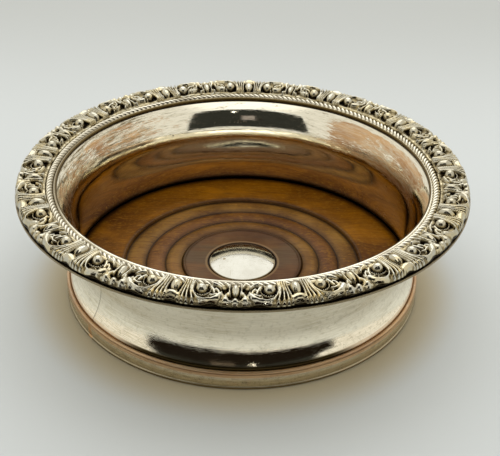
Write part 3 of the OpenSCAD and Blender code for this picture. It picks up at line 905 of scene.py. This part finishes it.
def make_border_finish():
    tree = Finish("stamped_silver", 1.0, 0.2)
    # The hollow mask brings tarnish in the hollows together with painted shade on steep sides and under
    # the outer edge.
    hollow, crest = tree.attribute("hollow"), tree.attribute("crest")
    dirt_and_shade = hollow + (tree.vector.noise(420.0, 4.0) - 0.5) * 0.5
    cool = (tree.vector.noise(170.0, 3.0) + crest * 0.12).ramp(0.46, 0.62)
    side_dull = tree.math("ABSOLUTE", tree.x).ramp(45.0 * MM, 80.0 * MM, 0.0, 0.3)
    tarnish_and_shade = tree.most(dirt_and_shade.ramp(-0.02, 0.28) * (1.0 - crest * 0.6), side_dull)
    worn = tree.use(WEAR, Size=60.0, Flatness=1.0, Cover=0.30, Softness=0.2)
    matting = tree.vector.noise(1700.0, 2.0) * hollow.ramp(0.15, 0.5)
    return plated_finish(tree, worn * crest * 0.35, tarnish_and_shade, 0.4, (0.05, 0.36),
                         silver=tree.mix(cool, BORDER_SILVER, BORDER_COOL), rubbed=BORDER_RUBBED,
                         dark=BORDER_TARNISH_AND_SHADE, deep_dirt_and_shade=dirt_and_shade.ramp(0.34, 0.86), relief=matting,
                         relief_depth=0.05, streak_relief=0.3)


border_finish = make_border_finish()
print("finish:", border_finish.name)

# %% Build the border
UNDER_ROUND, UNDER_IN = 0.12, (0.15, 0.5, 0.15)


def add_border():
    share, edge, height, hollow, crest = border_maps()
    rows = len(height)
    angle = TURN / 4 + TURN * np.arange(rows)[:, None] / rows
    out_r = BORDER_IN_R + share[None, :] * edge[:, None]
    under_r = [out_r[:, -1] - UNDER_IN[0], out_r[:, -1] - UNDER_IN[1], out_r[:, 0] + UNDER_IN[2]]
    radius = np.concatenate([out_r, np.stack(under_r, axis=1)], axis=1)
    under = np.tile([[UNDER_ROUND, 0, 0]], (rows, 1))
    level = BORDER_LOW + np.concatenate([height, under], axis=1)
    border = make_object("rim_border_stamping", around(radius, angle, level),
                         grid_faces(rows, radius.shape[1])[:, ::-1], border_finish)
    # The hollow mask stored here holds tarnish in the hollows and painted shade.
    for name, mask, below in (("hollow", hollow, 0.3), ("crest", crest, 0.0)):
        keep_mask(border, name, np.pad(mask, ((0, 0), (0, 3)), constant_values=below))
    return dress(border, "rim_border")


border = add_border()
print("border:", len(border.data.vertices), "points")

# %% [markdown]
# The floor is one disc of wood, turned with four grooves and convex rolls between them, and
# set a little below the waist. Turning cuts across straight grain, so lines run over the
# rings from side to side, while wax has darkened each groove. Broader bands of painted shade
# lie along the grooves, beside the wall and in the gap round the boss, and a painted highlight
# rings the boss's recess. The colour is laid on by radius, as the stain was rubbed on, and a
# thin clear coat gives the polish.

# %% Outline of the wood
WOOD_R, WOOD_LOW = reach("wood_base")[:2]
WOOD_MID_Z, WOOD_FIELD_Z = 7.8, 9.3
GROOVES = (47.8, 39.5, 31.6, 24.7)
GROOVE_D = 0.9
BOSS_R, BOSS_LOW, BOSS_HIGH = reach("boss")
BOSS_GAP = 0.35
STEM_R = reach("boss_stem")[0]
WASHER_R, _, WASHER_HIGH = reach("boss_washer")
wood_edge_z = foot_end[1] - LEG_BEND_R


def roll(inner_r, outer_r):
    """A convex moulding between two grooves, from its outer to its inner groove."""
    share = np.linspace(0, 1, 25)
    radius = inner_r + (outer_r - inner_r) * share
    floor = WOOD_MID_Z + (WOOD_FIELD_Z - WOOD_MID_Z) * (radius / WOOD_R) ** 2 - GROOVE_D
    return np.stack([radius, floor + GROOVE_D * np.sin(math.pi * share) ** 0.5], axis=1)[::-1]


def wood_outline():
    ring_1, ring_2, ring_3, ring_4 = GROOVES
    recess_r, nut_r = BOSS_R + BOSS_GAP, WASHER_R + BOSS_GAP
    chamfer = WOOD_FIELD_Z - wood_edge_z
    dish = np.linspace(0, 1, 12)
    dish_r = recess_r + 0.3 + (ring_4 - 1.6 - recess_r) * dish
    field = np.linspace(0, 1, 14)
    field_r = ring_1 + 2.6 + (WOOD_R - chamfer - ring_1 - 3.2) * field
    edge_in, edge_z = LEG_R - TURNED_EDGE_W - 0.1, WALL_LOW + SHEET_T + 0.02
    return np.concatenate([
        [[nut_r, WOOD_LOW], [edge_in, WOOD_LOW], [edge_in, edge_z], [LEG_R - TURN_BEND_R - 0.1, edge_z],
         [WOOD_R, turn_middle[1]], [WOOD_R, wood_edge_z]],
        arc((WOOD_R - chamfer, WOOD_FIELD_Z - chamfer), chamfer, 8, 88, 10),
        np.stack([field_r, WOOD_FIELD_Z - 0.35 * np.sin(math.pi * field) ** 2], axis=1)[::-1],
        arc((ring_1 + 1.5, WOOD_FIELD_Z - 1.05), 1.15, 70, 170, 10),
        [[ring_1 + 0.12, WOOD_FIELD_Z - 1.35], [ring_1 - 0.05, WOOD_FIELD_Z - 1.35]],
        roll(ring_2, ring_1)[1:], roll(ring_3, ring_2), roll(ring_4, ring_3),
        arc((ring_4 - 0.85, WOOD_MID_Z - 0.42), 0.72, 20, 150, 8),
        np.stack([dish_r, WOOD_MID_Z - 0.18 * np.sin(math.pi * dish)], axis=1)[::-1],
        [[recess_r, WOOD_MID_Z - 0.2], [recess_r, BOSS_LOW], [STEM_R, BOSS_LOW], [STEM_R, WASHER_HIGH],
         [nut_r, WASHER_HIGH]]])


print("the wood's outline has", len(wood_outline()), "points")

# %% Finish of the wood
AMBER, DEEP_AMBER, PALE_FLECK = srgb(144, 90, 2), srgb(58, 24, 1), srgb(150, 106, 30)
GREY_BROWN, ROSE_BROWN = srgb(130, 94, 40), srgb(112, 72, 32)
DISH_BROWN, GROOVE_WAX_AND_SHADE = srgb(84, 64, 40), srgb(24, 12, 3)
RECESS_HIGHLIGHT = srgb(150, 122, 84)
GRAIN_DRIFT = (0.02, 0.02, 0.0)


def make_wood_finish():
    tree = Finish("turned_wood", 0.0, 0.36)
    vector, radius = tree.vector, tree.radius
    drift = tree.value("ShaderNodeCombineXYZ", 0, X=vector.noise(9.0), Y=vector.noise(14.0), Z=0.0)
    bent = tree.value("ShaderNodeVectorMath", 0, {"operation": "MULTIPLY_ADD"},
                      (drift, GRAIN_DRIFT, vector))
    figure = bent.scaled(24.0, 96.0, 60.0).noise(1.0, 5.0, 0.6)
    fibres = bent.scaled(60.0, 1500.0, 400.0).noise(1.0)
    fleck = bent.scaled(500.0, 1500.0, 900.0).noise(1.0, 3.0, 0.7)
    cloud = vector.noise(34.0, 4.0, 0.6)
    ring_1, ring_2, ring_3, ring_4 = GROOVES
    inner = tree.layers(
        DISH_BROWN, (radius.band(ring_2, ring_1, 0.6), GREY_BROWN),
        (radius.band(ring_3, ring_2, 0.6), ROSE_BROWN), (radius.band(ring_4, ring_3, 0.6), GREY_BROWN),
        (figure.ramp(0.62, 0.4, 0.0, 0.55), ROSE_BROWN))
    amber = tree.mix(figure.ramp(0.3, 0.7, 0.3, 0.88), DEEP_AMBER, AMBER)
    # A painted highlight on the rim of the boss's recess.
    rubbed = radius.band(BOSS_R + BOSS_GAP + 0.3, BOSS_R + BOSS_GAP + 0.8, 0.6)
    # Painted shade: darker towards the wall and in the gap round the boss, and a broad band along each
    # groove beside its thin dark wax line.
    edge = radius.ramp(WOOD_R - 4.4, WOOD_R - 1.4)
    dark = tree.most(edge, radius.band(BOSS_R, BOSS_R + BOSS_GAP, 0.5))
    for ring in GROOVES:
        soft = radius.band(ring - 0.3, ring + 0.3, 2.2) * 0.55
        dark = tree.most(dark, radius.band(ring - 0.2, ring + 0.2, 0.4), soft)
    colour = tree.layers(
        inner, (radius.ramp(ring_1 - 1.0, ring_1 + 3.0), amber),
        (cloud.ramp(0.4, 0.66, 0.0, 0.6), DEEP_AMBER), (fibres.ramp(0.46, 0.7, 0.0, 0.45), DEEP_AMBER),
        (fleck.ramp(0.5, 0.7, 0.0, 0.55) * radius.ramp(23.0, 30.0), PALE_FLECK),
        (rubbed * 0.4, RECESS_HIGHLIGHT), (dark * 0.85, GROOVE_WAX_AND_SHADE))
    tree.set(Base_Color=colour, Roughness=cloud.ramp(0.3, 0.7, 0.3, 0.42), Specular_IOR_Level=0.09,
             Coat_Weight=0.035, Coat_Roughness=0.2)
    tree.bump(fibres, 0.03)
    return tree.material


wood = make_object("turned_base", *turned_ring(wood_outline()), make_wood_finish(), sharp=50)
dress(wood, "wood_base")
print("wood:", round(2 * WOOD_R, 1), "mm across, grooves at", GROOVES)

# %% [markdown]
# The boss in the middle of the floor is a low silver dome that hides the fixing. A scaled
# sphere would be too steep at its edge, so it is one shallow arc turned about the axis and
# closed by a fan of triangles at the top. Cleaning has left fine scratches in all
# directions rather than round it.

# %% Boss
BOSS_EDGE_T, BOSS_EDGE_ROUND, BOSS_STEPS = 0.8, 0.3, 360


def turned_cap(outline, steps):
    """Points and faces of an outline that starts and ends on the axis."""
    middle = outline[1:-1]
    count = len(middle)
    ring = turned(middle, steps).reshape(-1, 3)
    points = np.concatenate([ring, [[0, 0, outline[0, 1]], [0, 0, outline[-1, 1]]]])
    low, high = len(ring), len(ring) + 1
    here = np.arange(steps) * count
    following = np.roll(here, -1)
    fans = [[low, b, a] for a, b in zip(here.tolist(), following.tolist())]
    fans += [[high, a + count - 1, b + count - 1] for a, b in zip(here.tolist(), following.tolist())]
    return points, grid_faces(steps, count, closed_columns=False).tolist() + fans


def make_boss_finish():
    tree = Finish("boss_silver", 1.0, 0.12)
    first = tree.vector.scaled(300.0, 3000.0, 10.0).noise(1.0, 2.0)
    second = tree.vector.scaled(2600.0, 260.0, 10.0).noise(1.0, 2.0)
    scratches = tree.most(first.ramp(0.62, 0.72), second.ramp(0.63, 0.73))
    speck = tree.use(PITS, Spacing=260.0, Size=0.16, Share=0.12)
    edge = tree.radius.ramp(BOSS_R - 0.5, BOSS_R - 0.1)
    haze = tree.vector.noise(120.0, 4.0).ramp(0.35, 0.65)
    colour = tree.layers(srgb(178, 175, 164), (haze * 0.35, srgb(156, 151, 138)),
                         (scratches * 0.25, TARNISH_AND_SHADE), (tree.most(edge, speck * 0.7), TARNISH_AND_SHADE))
    dull = tree.most(haze, scratches, tree.radius.ramp(12.5, 9.5) * 0.7)
    tree.set(Base_Color=colour, Roughness=dull.ramp(0.0, 1.0, 0.04, 0.16))
    tree.bump(scratches, 0.01)
    return tree.material


def boss_outline():
    edge_z = BOSS_LOW + BOSS_EDGE_T
    dome_h = BOSS_HIGH - edge_z
    dome_r = (BOSS_R ** 2 + dome_h ** 2) / (2 * dome_h)
    start = math.degrees(math.acos((BOSS_R - 0.4) / dome_r))
    return np.concatenate([
        [[0, BOSS_LOW], [BOSS_R - 0.2, BOSS_LOW], [BOSS_R, BOSS_LOW + 0.2],
         [BOSS_R, edge_z - BOSS_EDGE_ROUND], [BOSS_R - 0.12, edge_z - 0.08]],
        arc((0, BOSS_HIGH - dome_r), dome_r, start, 90, 40)])


boss = make_object("boss_dome", *turned_cap(boss_outline(), BOSS_STEPS), make_boss_finish(), sharp=60)
dress(boss, "boss")
print("boss:", round(2 * BOSS_R, 1), "mm across")

# %% [markdown]
# Baize is a felted wool cloth glued under the foot to spare the table. A flat disc would
# look like card, so the lower face has a slight unevenness and the cut edge is rounded. Its
# finish is fine fibre noise with a little sheen, which is how a short nap catches light.

# %% Baize
BAIZE_R, BAIZE_LOW, BAIZE_HIGH = reach("baize")
BAIZE_STEPS, BAIZE_RINGS = 240, 36
NAP_H = 0.08


def make_baize_finish():
    tree = Finish("baize", 0.0, 0.95)
    fibre, cloud = tree.vector.noise(2600.0, 4.0, 0.7), tree.vector.noise(60.0, 4.0)
    colour = tree.mix(fibre.ramp(0.3, 0.7), srgb(32, 66, 40), srgb(62, 104, 66))
    colour = tree.mix(cloud.ramp(0.45, 0.75, 0.0, 0.5), colour, srgb(84, 104, 70))
    tree.set(Base_Color=colour, Sheen_Weight=0.4, Sheen_Roughness=0.5)
    tree.bump(fibre, 0.12)
    return tree.material


def add_baize():
    flat_r = np.linspace(0, BAIZE_R - 0.4, BAIZE_RINGS)
    outline = np.concatenate([
        np.stack([flat_r, np.full(BAIZE_RINGS, BAIZE_LOW)], axis=1),
        arc((BAIZE_R - 0.25, BAIZE_LOW + 0.25), 0.25, -60, 0, 3),
        arc((BAIZE_R - 0.15, BAIZE_HIGH - 0.15), 0.15, 0, 90, 3), [[0, BAIZE_HIGH]]])
    points, faces = turned_cap(outline, BAIZE_STEPS)
    dice = np.random.default_rng(5)
    low = points[:, 2] < BAIZE_LOW + 0.01
    points[low, 2] += NAP_H * dice.random(low.sum())
    cloth = make_object("baize_disc", points, faces, make_baize_finish(), sharp=60)
    dress(cloth, "baize")
    return cloth


add_baize()
print("baize:", round(2 * BAIZE_R, 1), "mm across")

# %% [markdown]
# Some pieces never show once the coaster is together: the solder bed, the boss's stem, its
# washer and nut, and the pins. Their shapes in the frame are right, so they only get a
# finish. A dull metal is a metallic colour broken up by noise, with no polish left on it.

# %% Finishes of the hidden metal
def make_dull_metal(name, light, dark, roughness, grain):
    tree = Finish(name, 1.0, roughness)
    cloud = tree.vector.noise(grain, 4.0)
    stain = tree.use(WEAR, Size=grain * 0.8, Flatness=1.0, Cover=0.4)
    colour = tree.mix(cloud.ramp(0.35, 0.65), light, dark)
    tree.set(Base_Color=tree.mix(stain * 0.5, colour, DEEP_TARNISH_AND_SHADE),
             Roughness=cloud.ramp(0.3, 0.7, roughness - 0.1, roughness + 0.1))
    tree.bump(cloud, 0.03)
    return tree.material


dull_brass = make_dull_metal("dull_brass", srgb(190, 158, 84), srgb(136, 106, 52), 0.42, 300.0)
HIDDEN_METALS = {
    "border_solder": make_dull_metal("solder_bed", srgb(128, 128, 126), srgb(84, 84, 84), 0.55, 260.0),
    "boss_stem": dull_brass, "boss_washer": dull_brass, "boss_nut": dull_brass,
    "base_pins": make_dull_metal("pin_steel", srgb(150, 148, 144), srgb(92, 88, 82), 0.45, 500.0)}

for node_name, finish in HIDDEN_METALS.items():
    for material_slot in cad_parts[node_name].material_slots:
        material_slot.material = finish
    print(node_name, "has the finish", finish.name)

# %% [markdown]
# Polished metal shows what is round it, so the studio is part of the finish. A pale floor
# and a pale sky give the silver its tone. Two dark cards stand by the camera: the tall one
# puts the dark bar on the lip, and the low one the dark band above the foot. A label and a
# small lamp in front of each put the pale spots into them. A card lit from the front would
# need its own lamps, so each simply glows at its own brightness. Cards and lamps are hidden
# from the camera and light nothing else; they only show in reflections.

# %% Floor
FLOOR_SIZE = 4.0
FLOOR_COLOUR, FAR_FALLOFF_COLOUR = srgb(200, 204, 205), srgb(173, 175, 173)
FOOT_SHADOW_COLOUR = srgb(184, 173, 146)


def add_sheet(name, corners, material):
    """A flat piece of the studio, in metres."""
    mesh = bpy.data.meshes.new(name)
    mesh.from_pydata(corners, [], [tuple(range(len(corners)))])
    mesh.materials.append(material)
    piece = bpy.data.objects.new(name, mesh)
    scene.collection.objects.link(piece)
    return piece


def add_floor():
    """Pale paper, with painted falloff that darkens it towards the back and a painted warm shadow round
    the foot.
    """
    tree = Finish("floor_paper", 0.0, 0.85)
    away = tree.value("ShaderNodeVectorMath", "Value", {"operation": "LENGTH"}, [tree.vector])
    far_falloff = tree.y.ramp(0.08, 0.36, 0.0, 0.9) + tree.vector.noise(3.0, 2.0) * 0.2
    # Painted falloff darkens the paper towards the back; a painted warm shadow lies round the foot.
    tree.set(Base_Color=tree.layers(FLOOR_COLOUR, (far_falloff, FAR_FALLOFF_COLOUR),
                                    (away.ramp(0.092, 0.072), FOOT_SHADOW_COLOUR)))
    h = FLOOR_SIZE / 2
    return add_sheet("floor", [(-h, -h, 0), (h, -h, 0), (h, h, 0), (-h, h, 0)], tree.material)


floor = add_floor()
print("floor:", FLOOR_SIZE, "m across")

# %% Cards and lamps, which show in reflections only
# Each card has a name, a depth, a lower edge from its left to its right end with the levels
# along it, an upper edge with its level, and a colour.
CARDS = [
    ("tall_card", -0.226, (-0.251, 0.221), (0.096, 0.096), (-0.227, 0.210), 0.346,
     (0.030, 0.031, 0.026)),
    ("tall_card_label", -0.224, (-0.028, 0.011), (0.174, 0.174), (-0.028, 0.011), 0.231,
     (0.33, 0.29, 0.26)),
    ("low_card", -0.150, (-0.166, 0.184), (0.001, 0.019, 0.012), (-0.180, 0.190), 0.058,
     (0.009, 0.006, 0.0035)),
    ("low_card_label", -0.149, (-0.034, -0.004), (0.050, 0.050), (-0.034, -0.004), 0.0565,
     (0.14, 0.11, 0.08))]
LAMPS = [((0.040, -0.222, 0.292), 0.0038, 0.010), ((0.0194, -0.148, 0.0540), 0.0014, 0.0022)]
LAMP_SIDES = 24


def glowing(name, colour, strength):
    """A material that shows one brightness, whatever light falls on it."""
    tree = Finish(name, 0.0, 1.0)
    tree.set(Base_Color=(0.0, 0.0, 0.0, 1.0), Specular_IOR_Level=0.0, Emission_Color=(*colour, 1.0),
             Emission_Strength=strength)
    return tree.material


def add_reflected(name, corners, material):
    """A sheet that only shows in reflections."""
    piece = add_sheet(name, corners, material)
    piece.visible_camera = False
    piece.visible_diffuse = False
    piece.visible_shadow = False
    return piece


def add_cards():
    cards = []
    for name, depth, low_x, low, high_x, high, colour in CARDS:
        lower = [(x, depth, z) for x, z in zip(np.linspace(*low_x, len(low)).tolist(), low)]
        upper = [(high_x[1], depth, high), (high_x[0], depth, high)]
        cards.append(add_reflected(name, lower + upper, glowing(name, colour, 1.0)))
    return cards


def add_lamps():
    bright = glowing("lamp_glow", (1.0, 0.95, 0.85), 6.0)
    lamps = []
    for index, ((x, y, z), half_width, half_height) in enumerate(LAMPS):
        corners = [(x + half_width * math.cos(a), y, z + half_height * math.sin(a))
                   for a in (TURN * i / LAMP_SIDES for i in range(LAMP_SIDES))]
        lamps.append(add_reflected(f"lamp_{index}", corners, bright))
    return lamps


print("cards and lamps:", [piece.name for piece in add_cards() + add_lamps()])

# %% Light and sky
LIGHT_PLACE, LIGHT_SIZE, LIGHT_POWER = (0.0, 0.70, 1.22), (1.9, 1.6), 12.0
LIGHT_COLOUR = (0.95, 0.975, 1.0)
SKY_COLOUR, BRIGHT_SKY_COLOUR = (0.84, 0.82, 0.75, 1.0), (1.38, 1.36, 1.28, 1.0)
BRIGHT_SKY_DIRECTION = (0.0, -0.42, 0.907)


def add_light():
    data = bpy.data.lights.new("top_light", "AREA")
    data.shape, data.energy, data.color = "RECTANGLE", LIGHT_POWER, LIGHT_COLOUR
    data.size, data.size_y = LIGHT_SIZE
    light = bpy.data.objects.new("top_light", data)
    scene.collection.objects.link(light)
    light.location = LIGHT_PLACE
    light.rotation_euler = (-Vector(LIGHT_PLACE)).to_track_quat("-Z", "Y").to_euler()
    return light


def set_sky():
    """A pale sky with a brighter part above the camera."""
    world = bpy.data.worlds.new("studio")
    world.use_nodes = True
    tree = Tree(world.node_tree)
    background = world.node_tree.nodes["Background"]
    direction = tree.value("ShaderNodeTexCoord", "Generated")
    towards = tree.value("ShaderNodeVectorMath", "Value", {"operation": "DOT_PRODUCT"},
                         (direction, BRIGHT_SKY_DIRECTION))
    colour = tree.mix(towards.ramp(0.84, 0.97), SKY_COLOUR, BRIGHT_SKY_COLOUR)
    tree.feed(background.inputs["Color"], colour)
    background.inputs["Strength"].default_value = 1.0
    scene.world = world


set_sky()
scene.view_settings.view_transform = "Standard"
print("light:", add_light().name)

# %% [markdown]
# The dressed piece must keep to its frame.
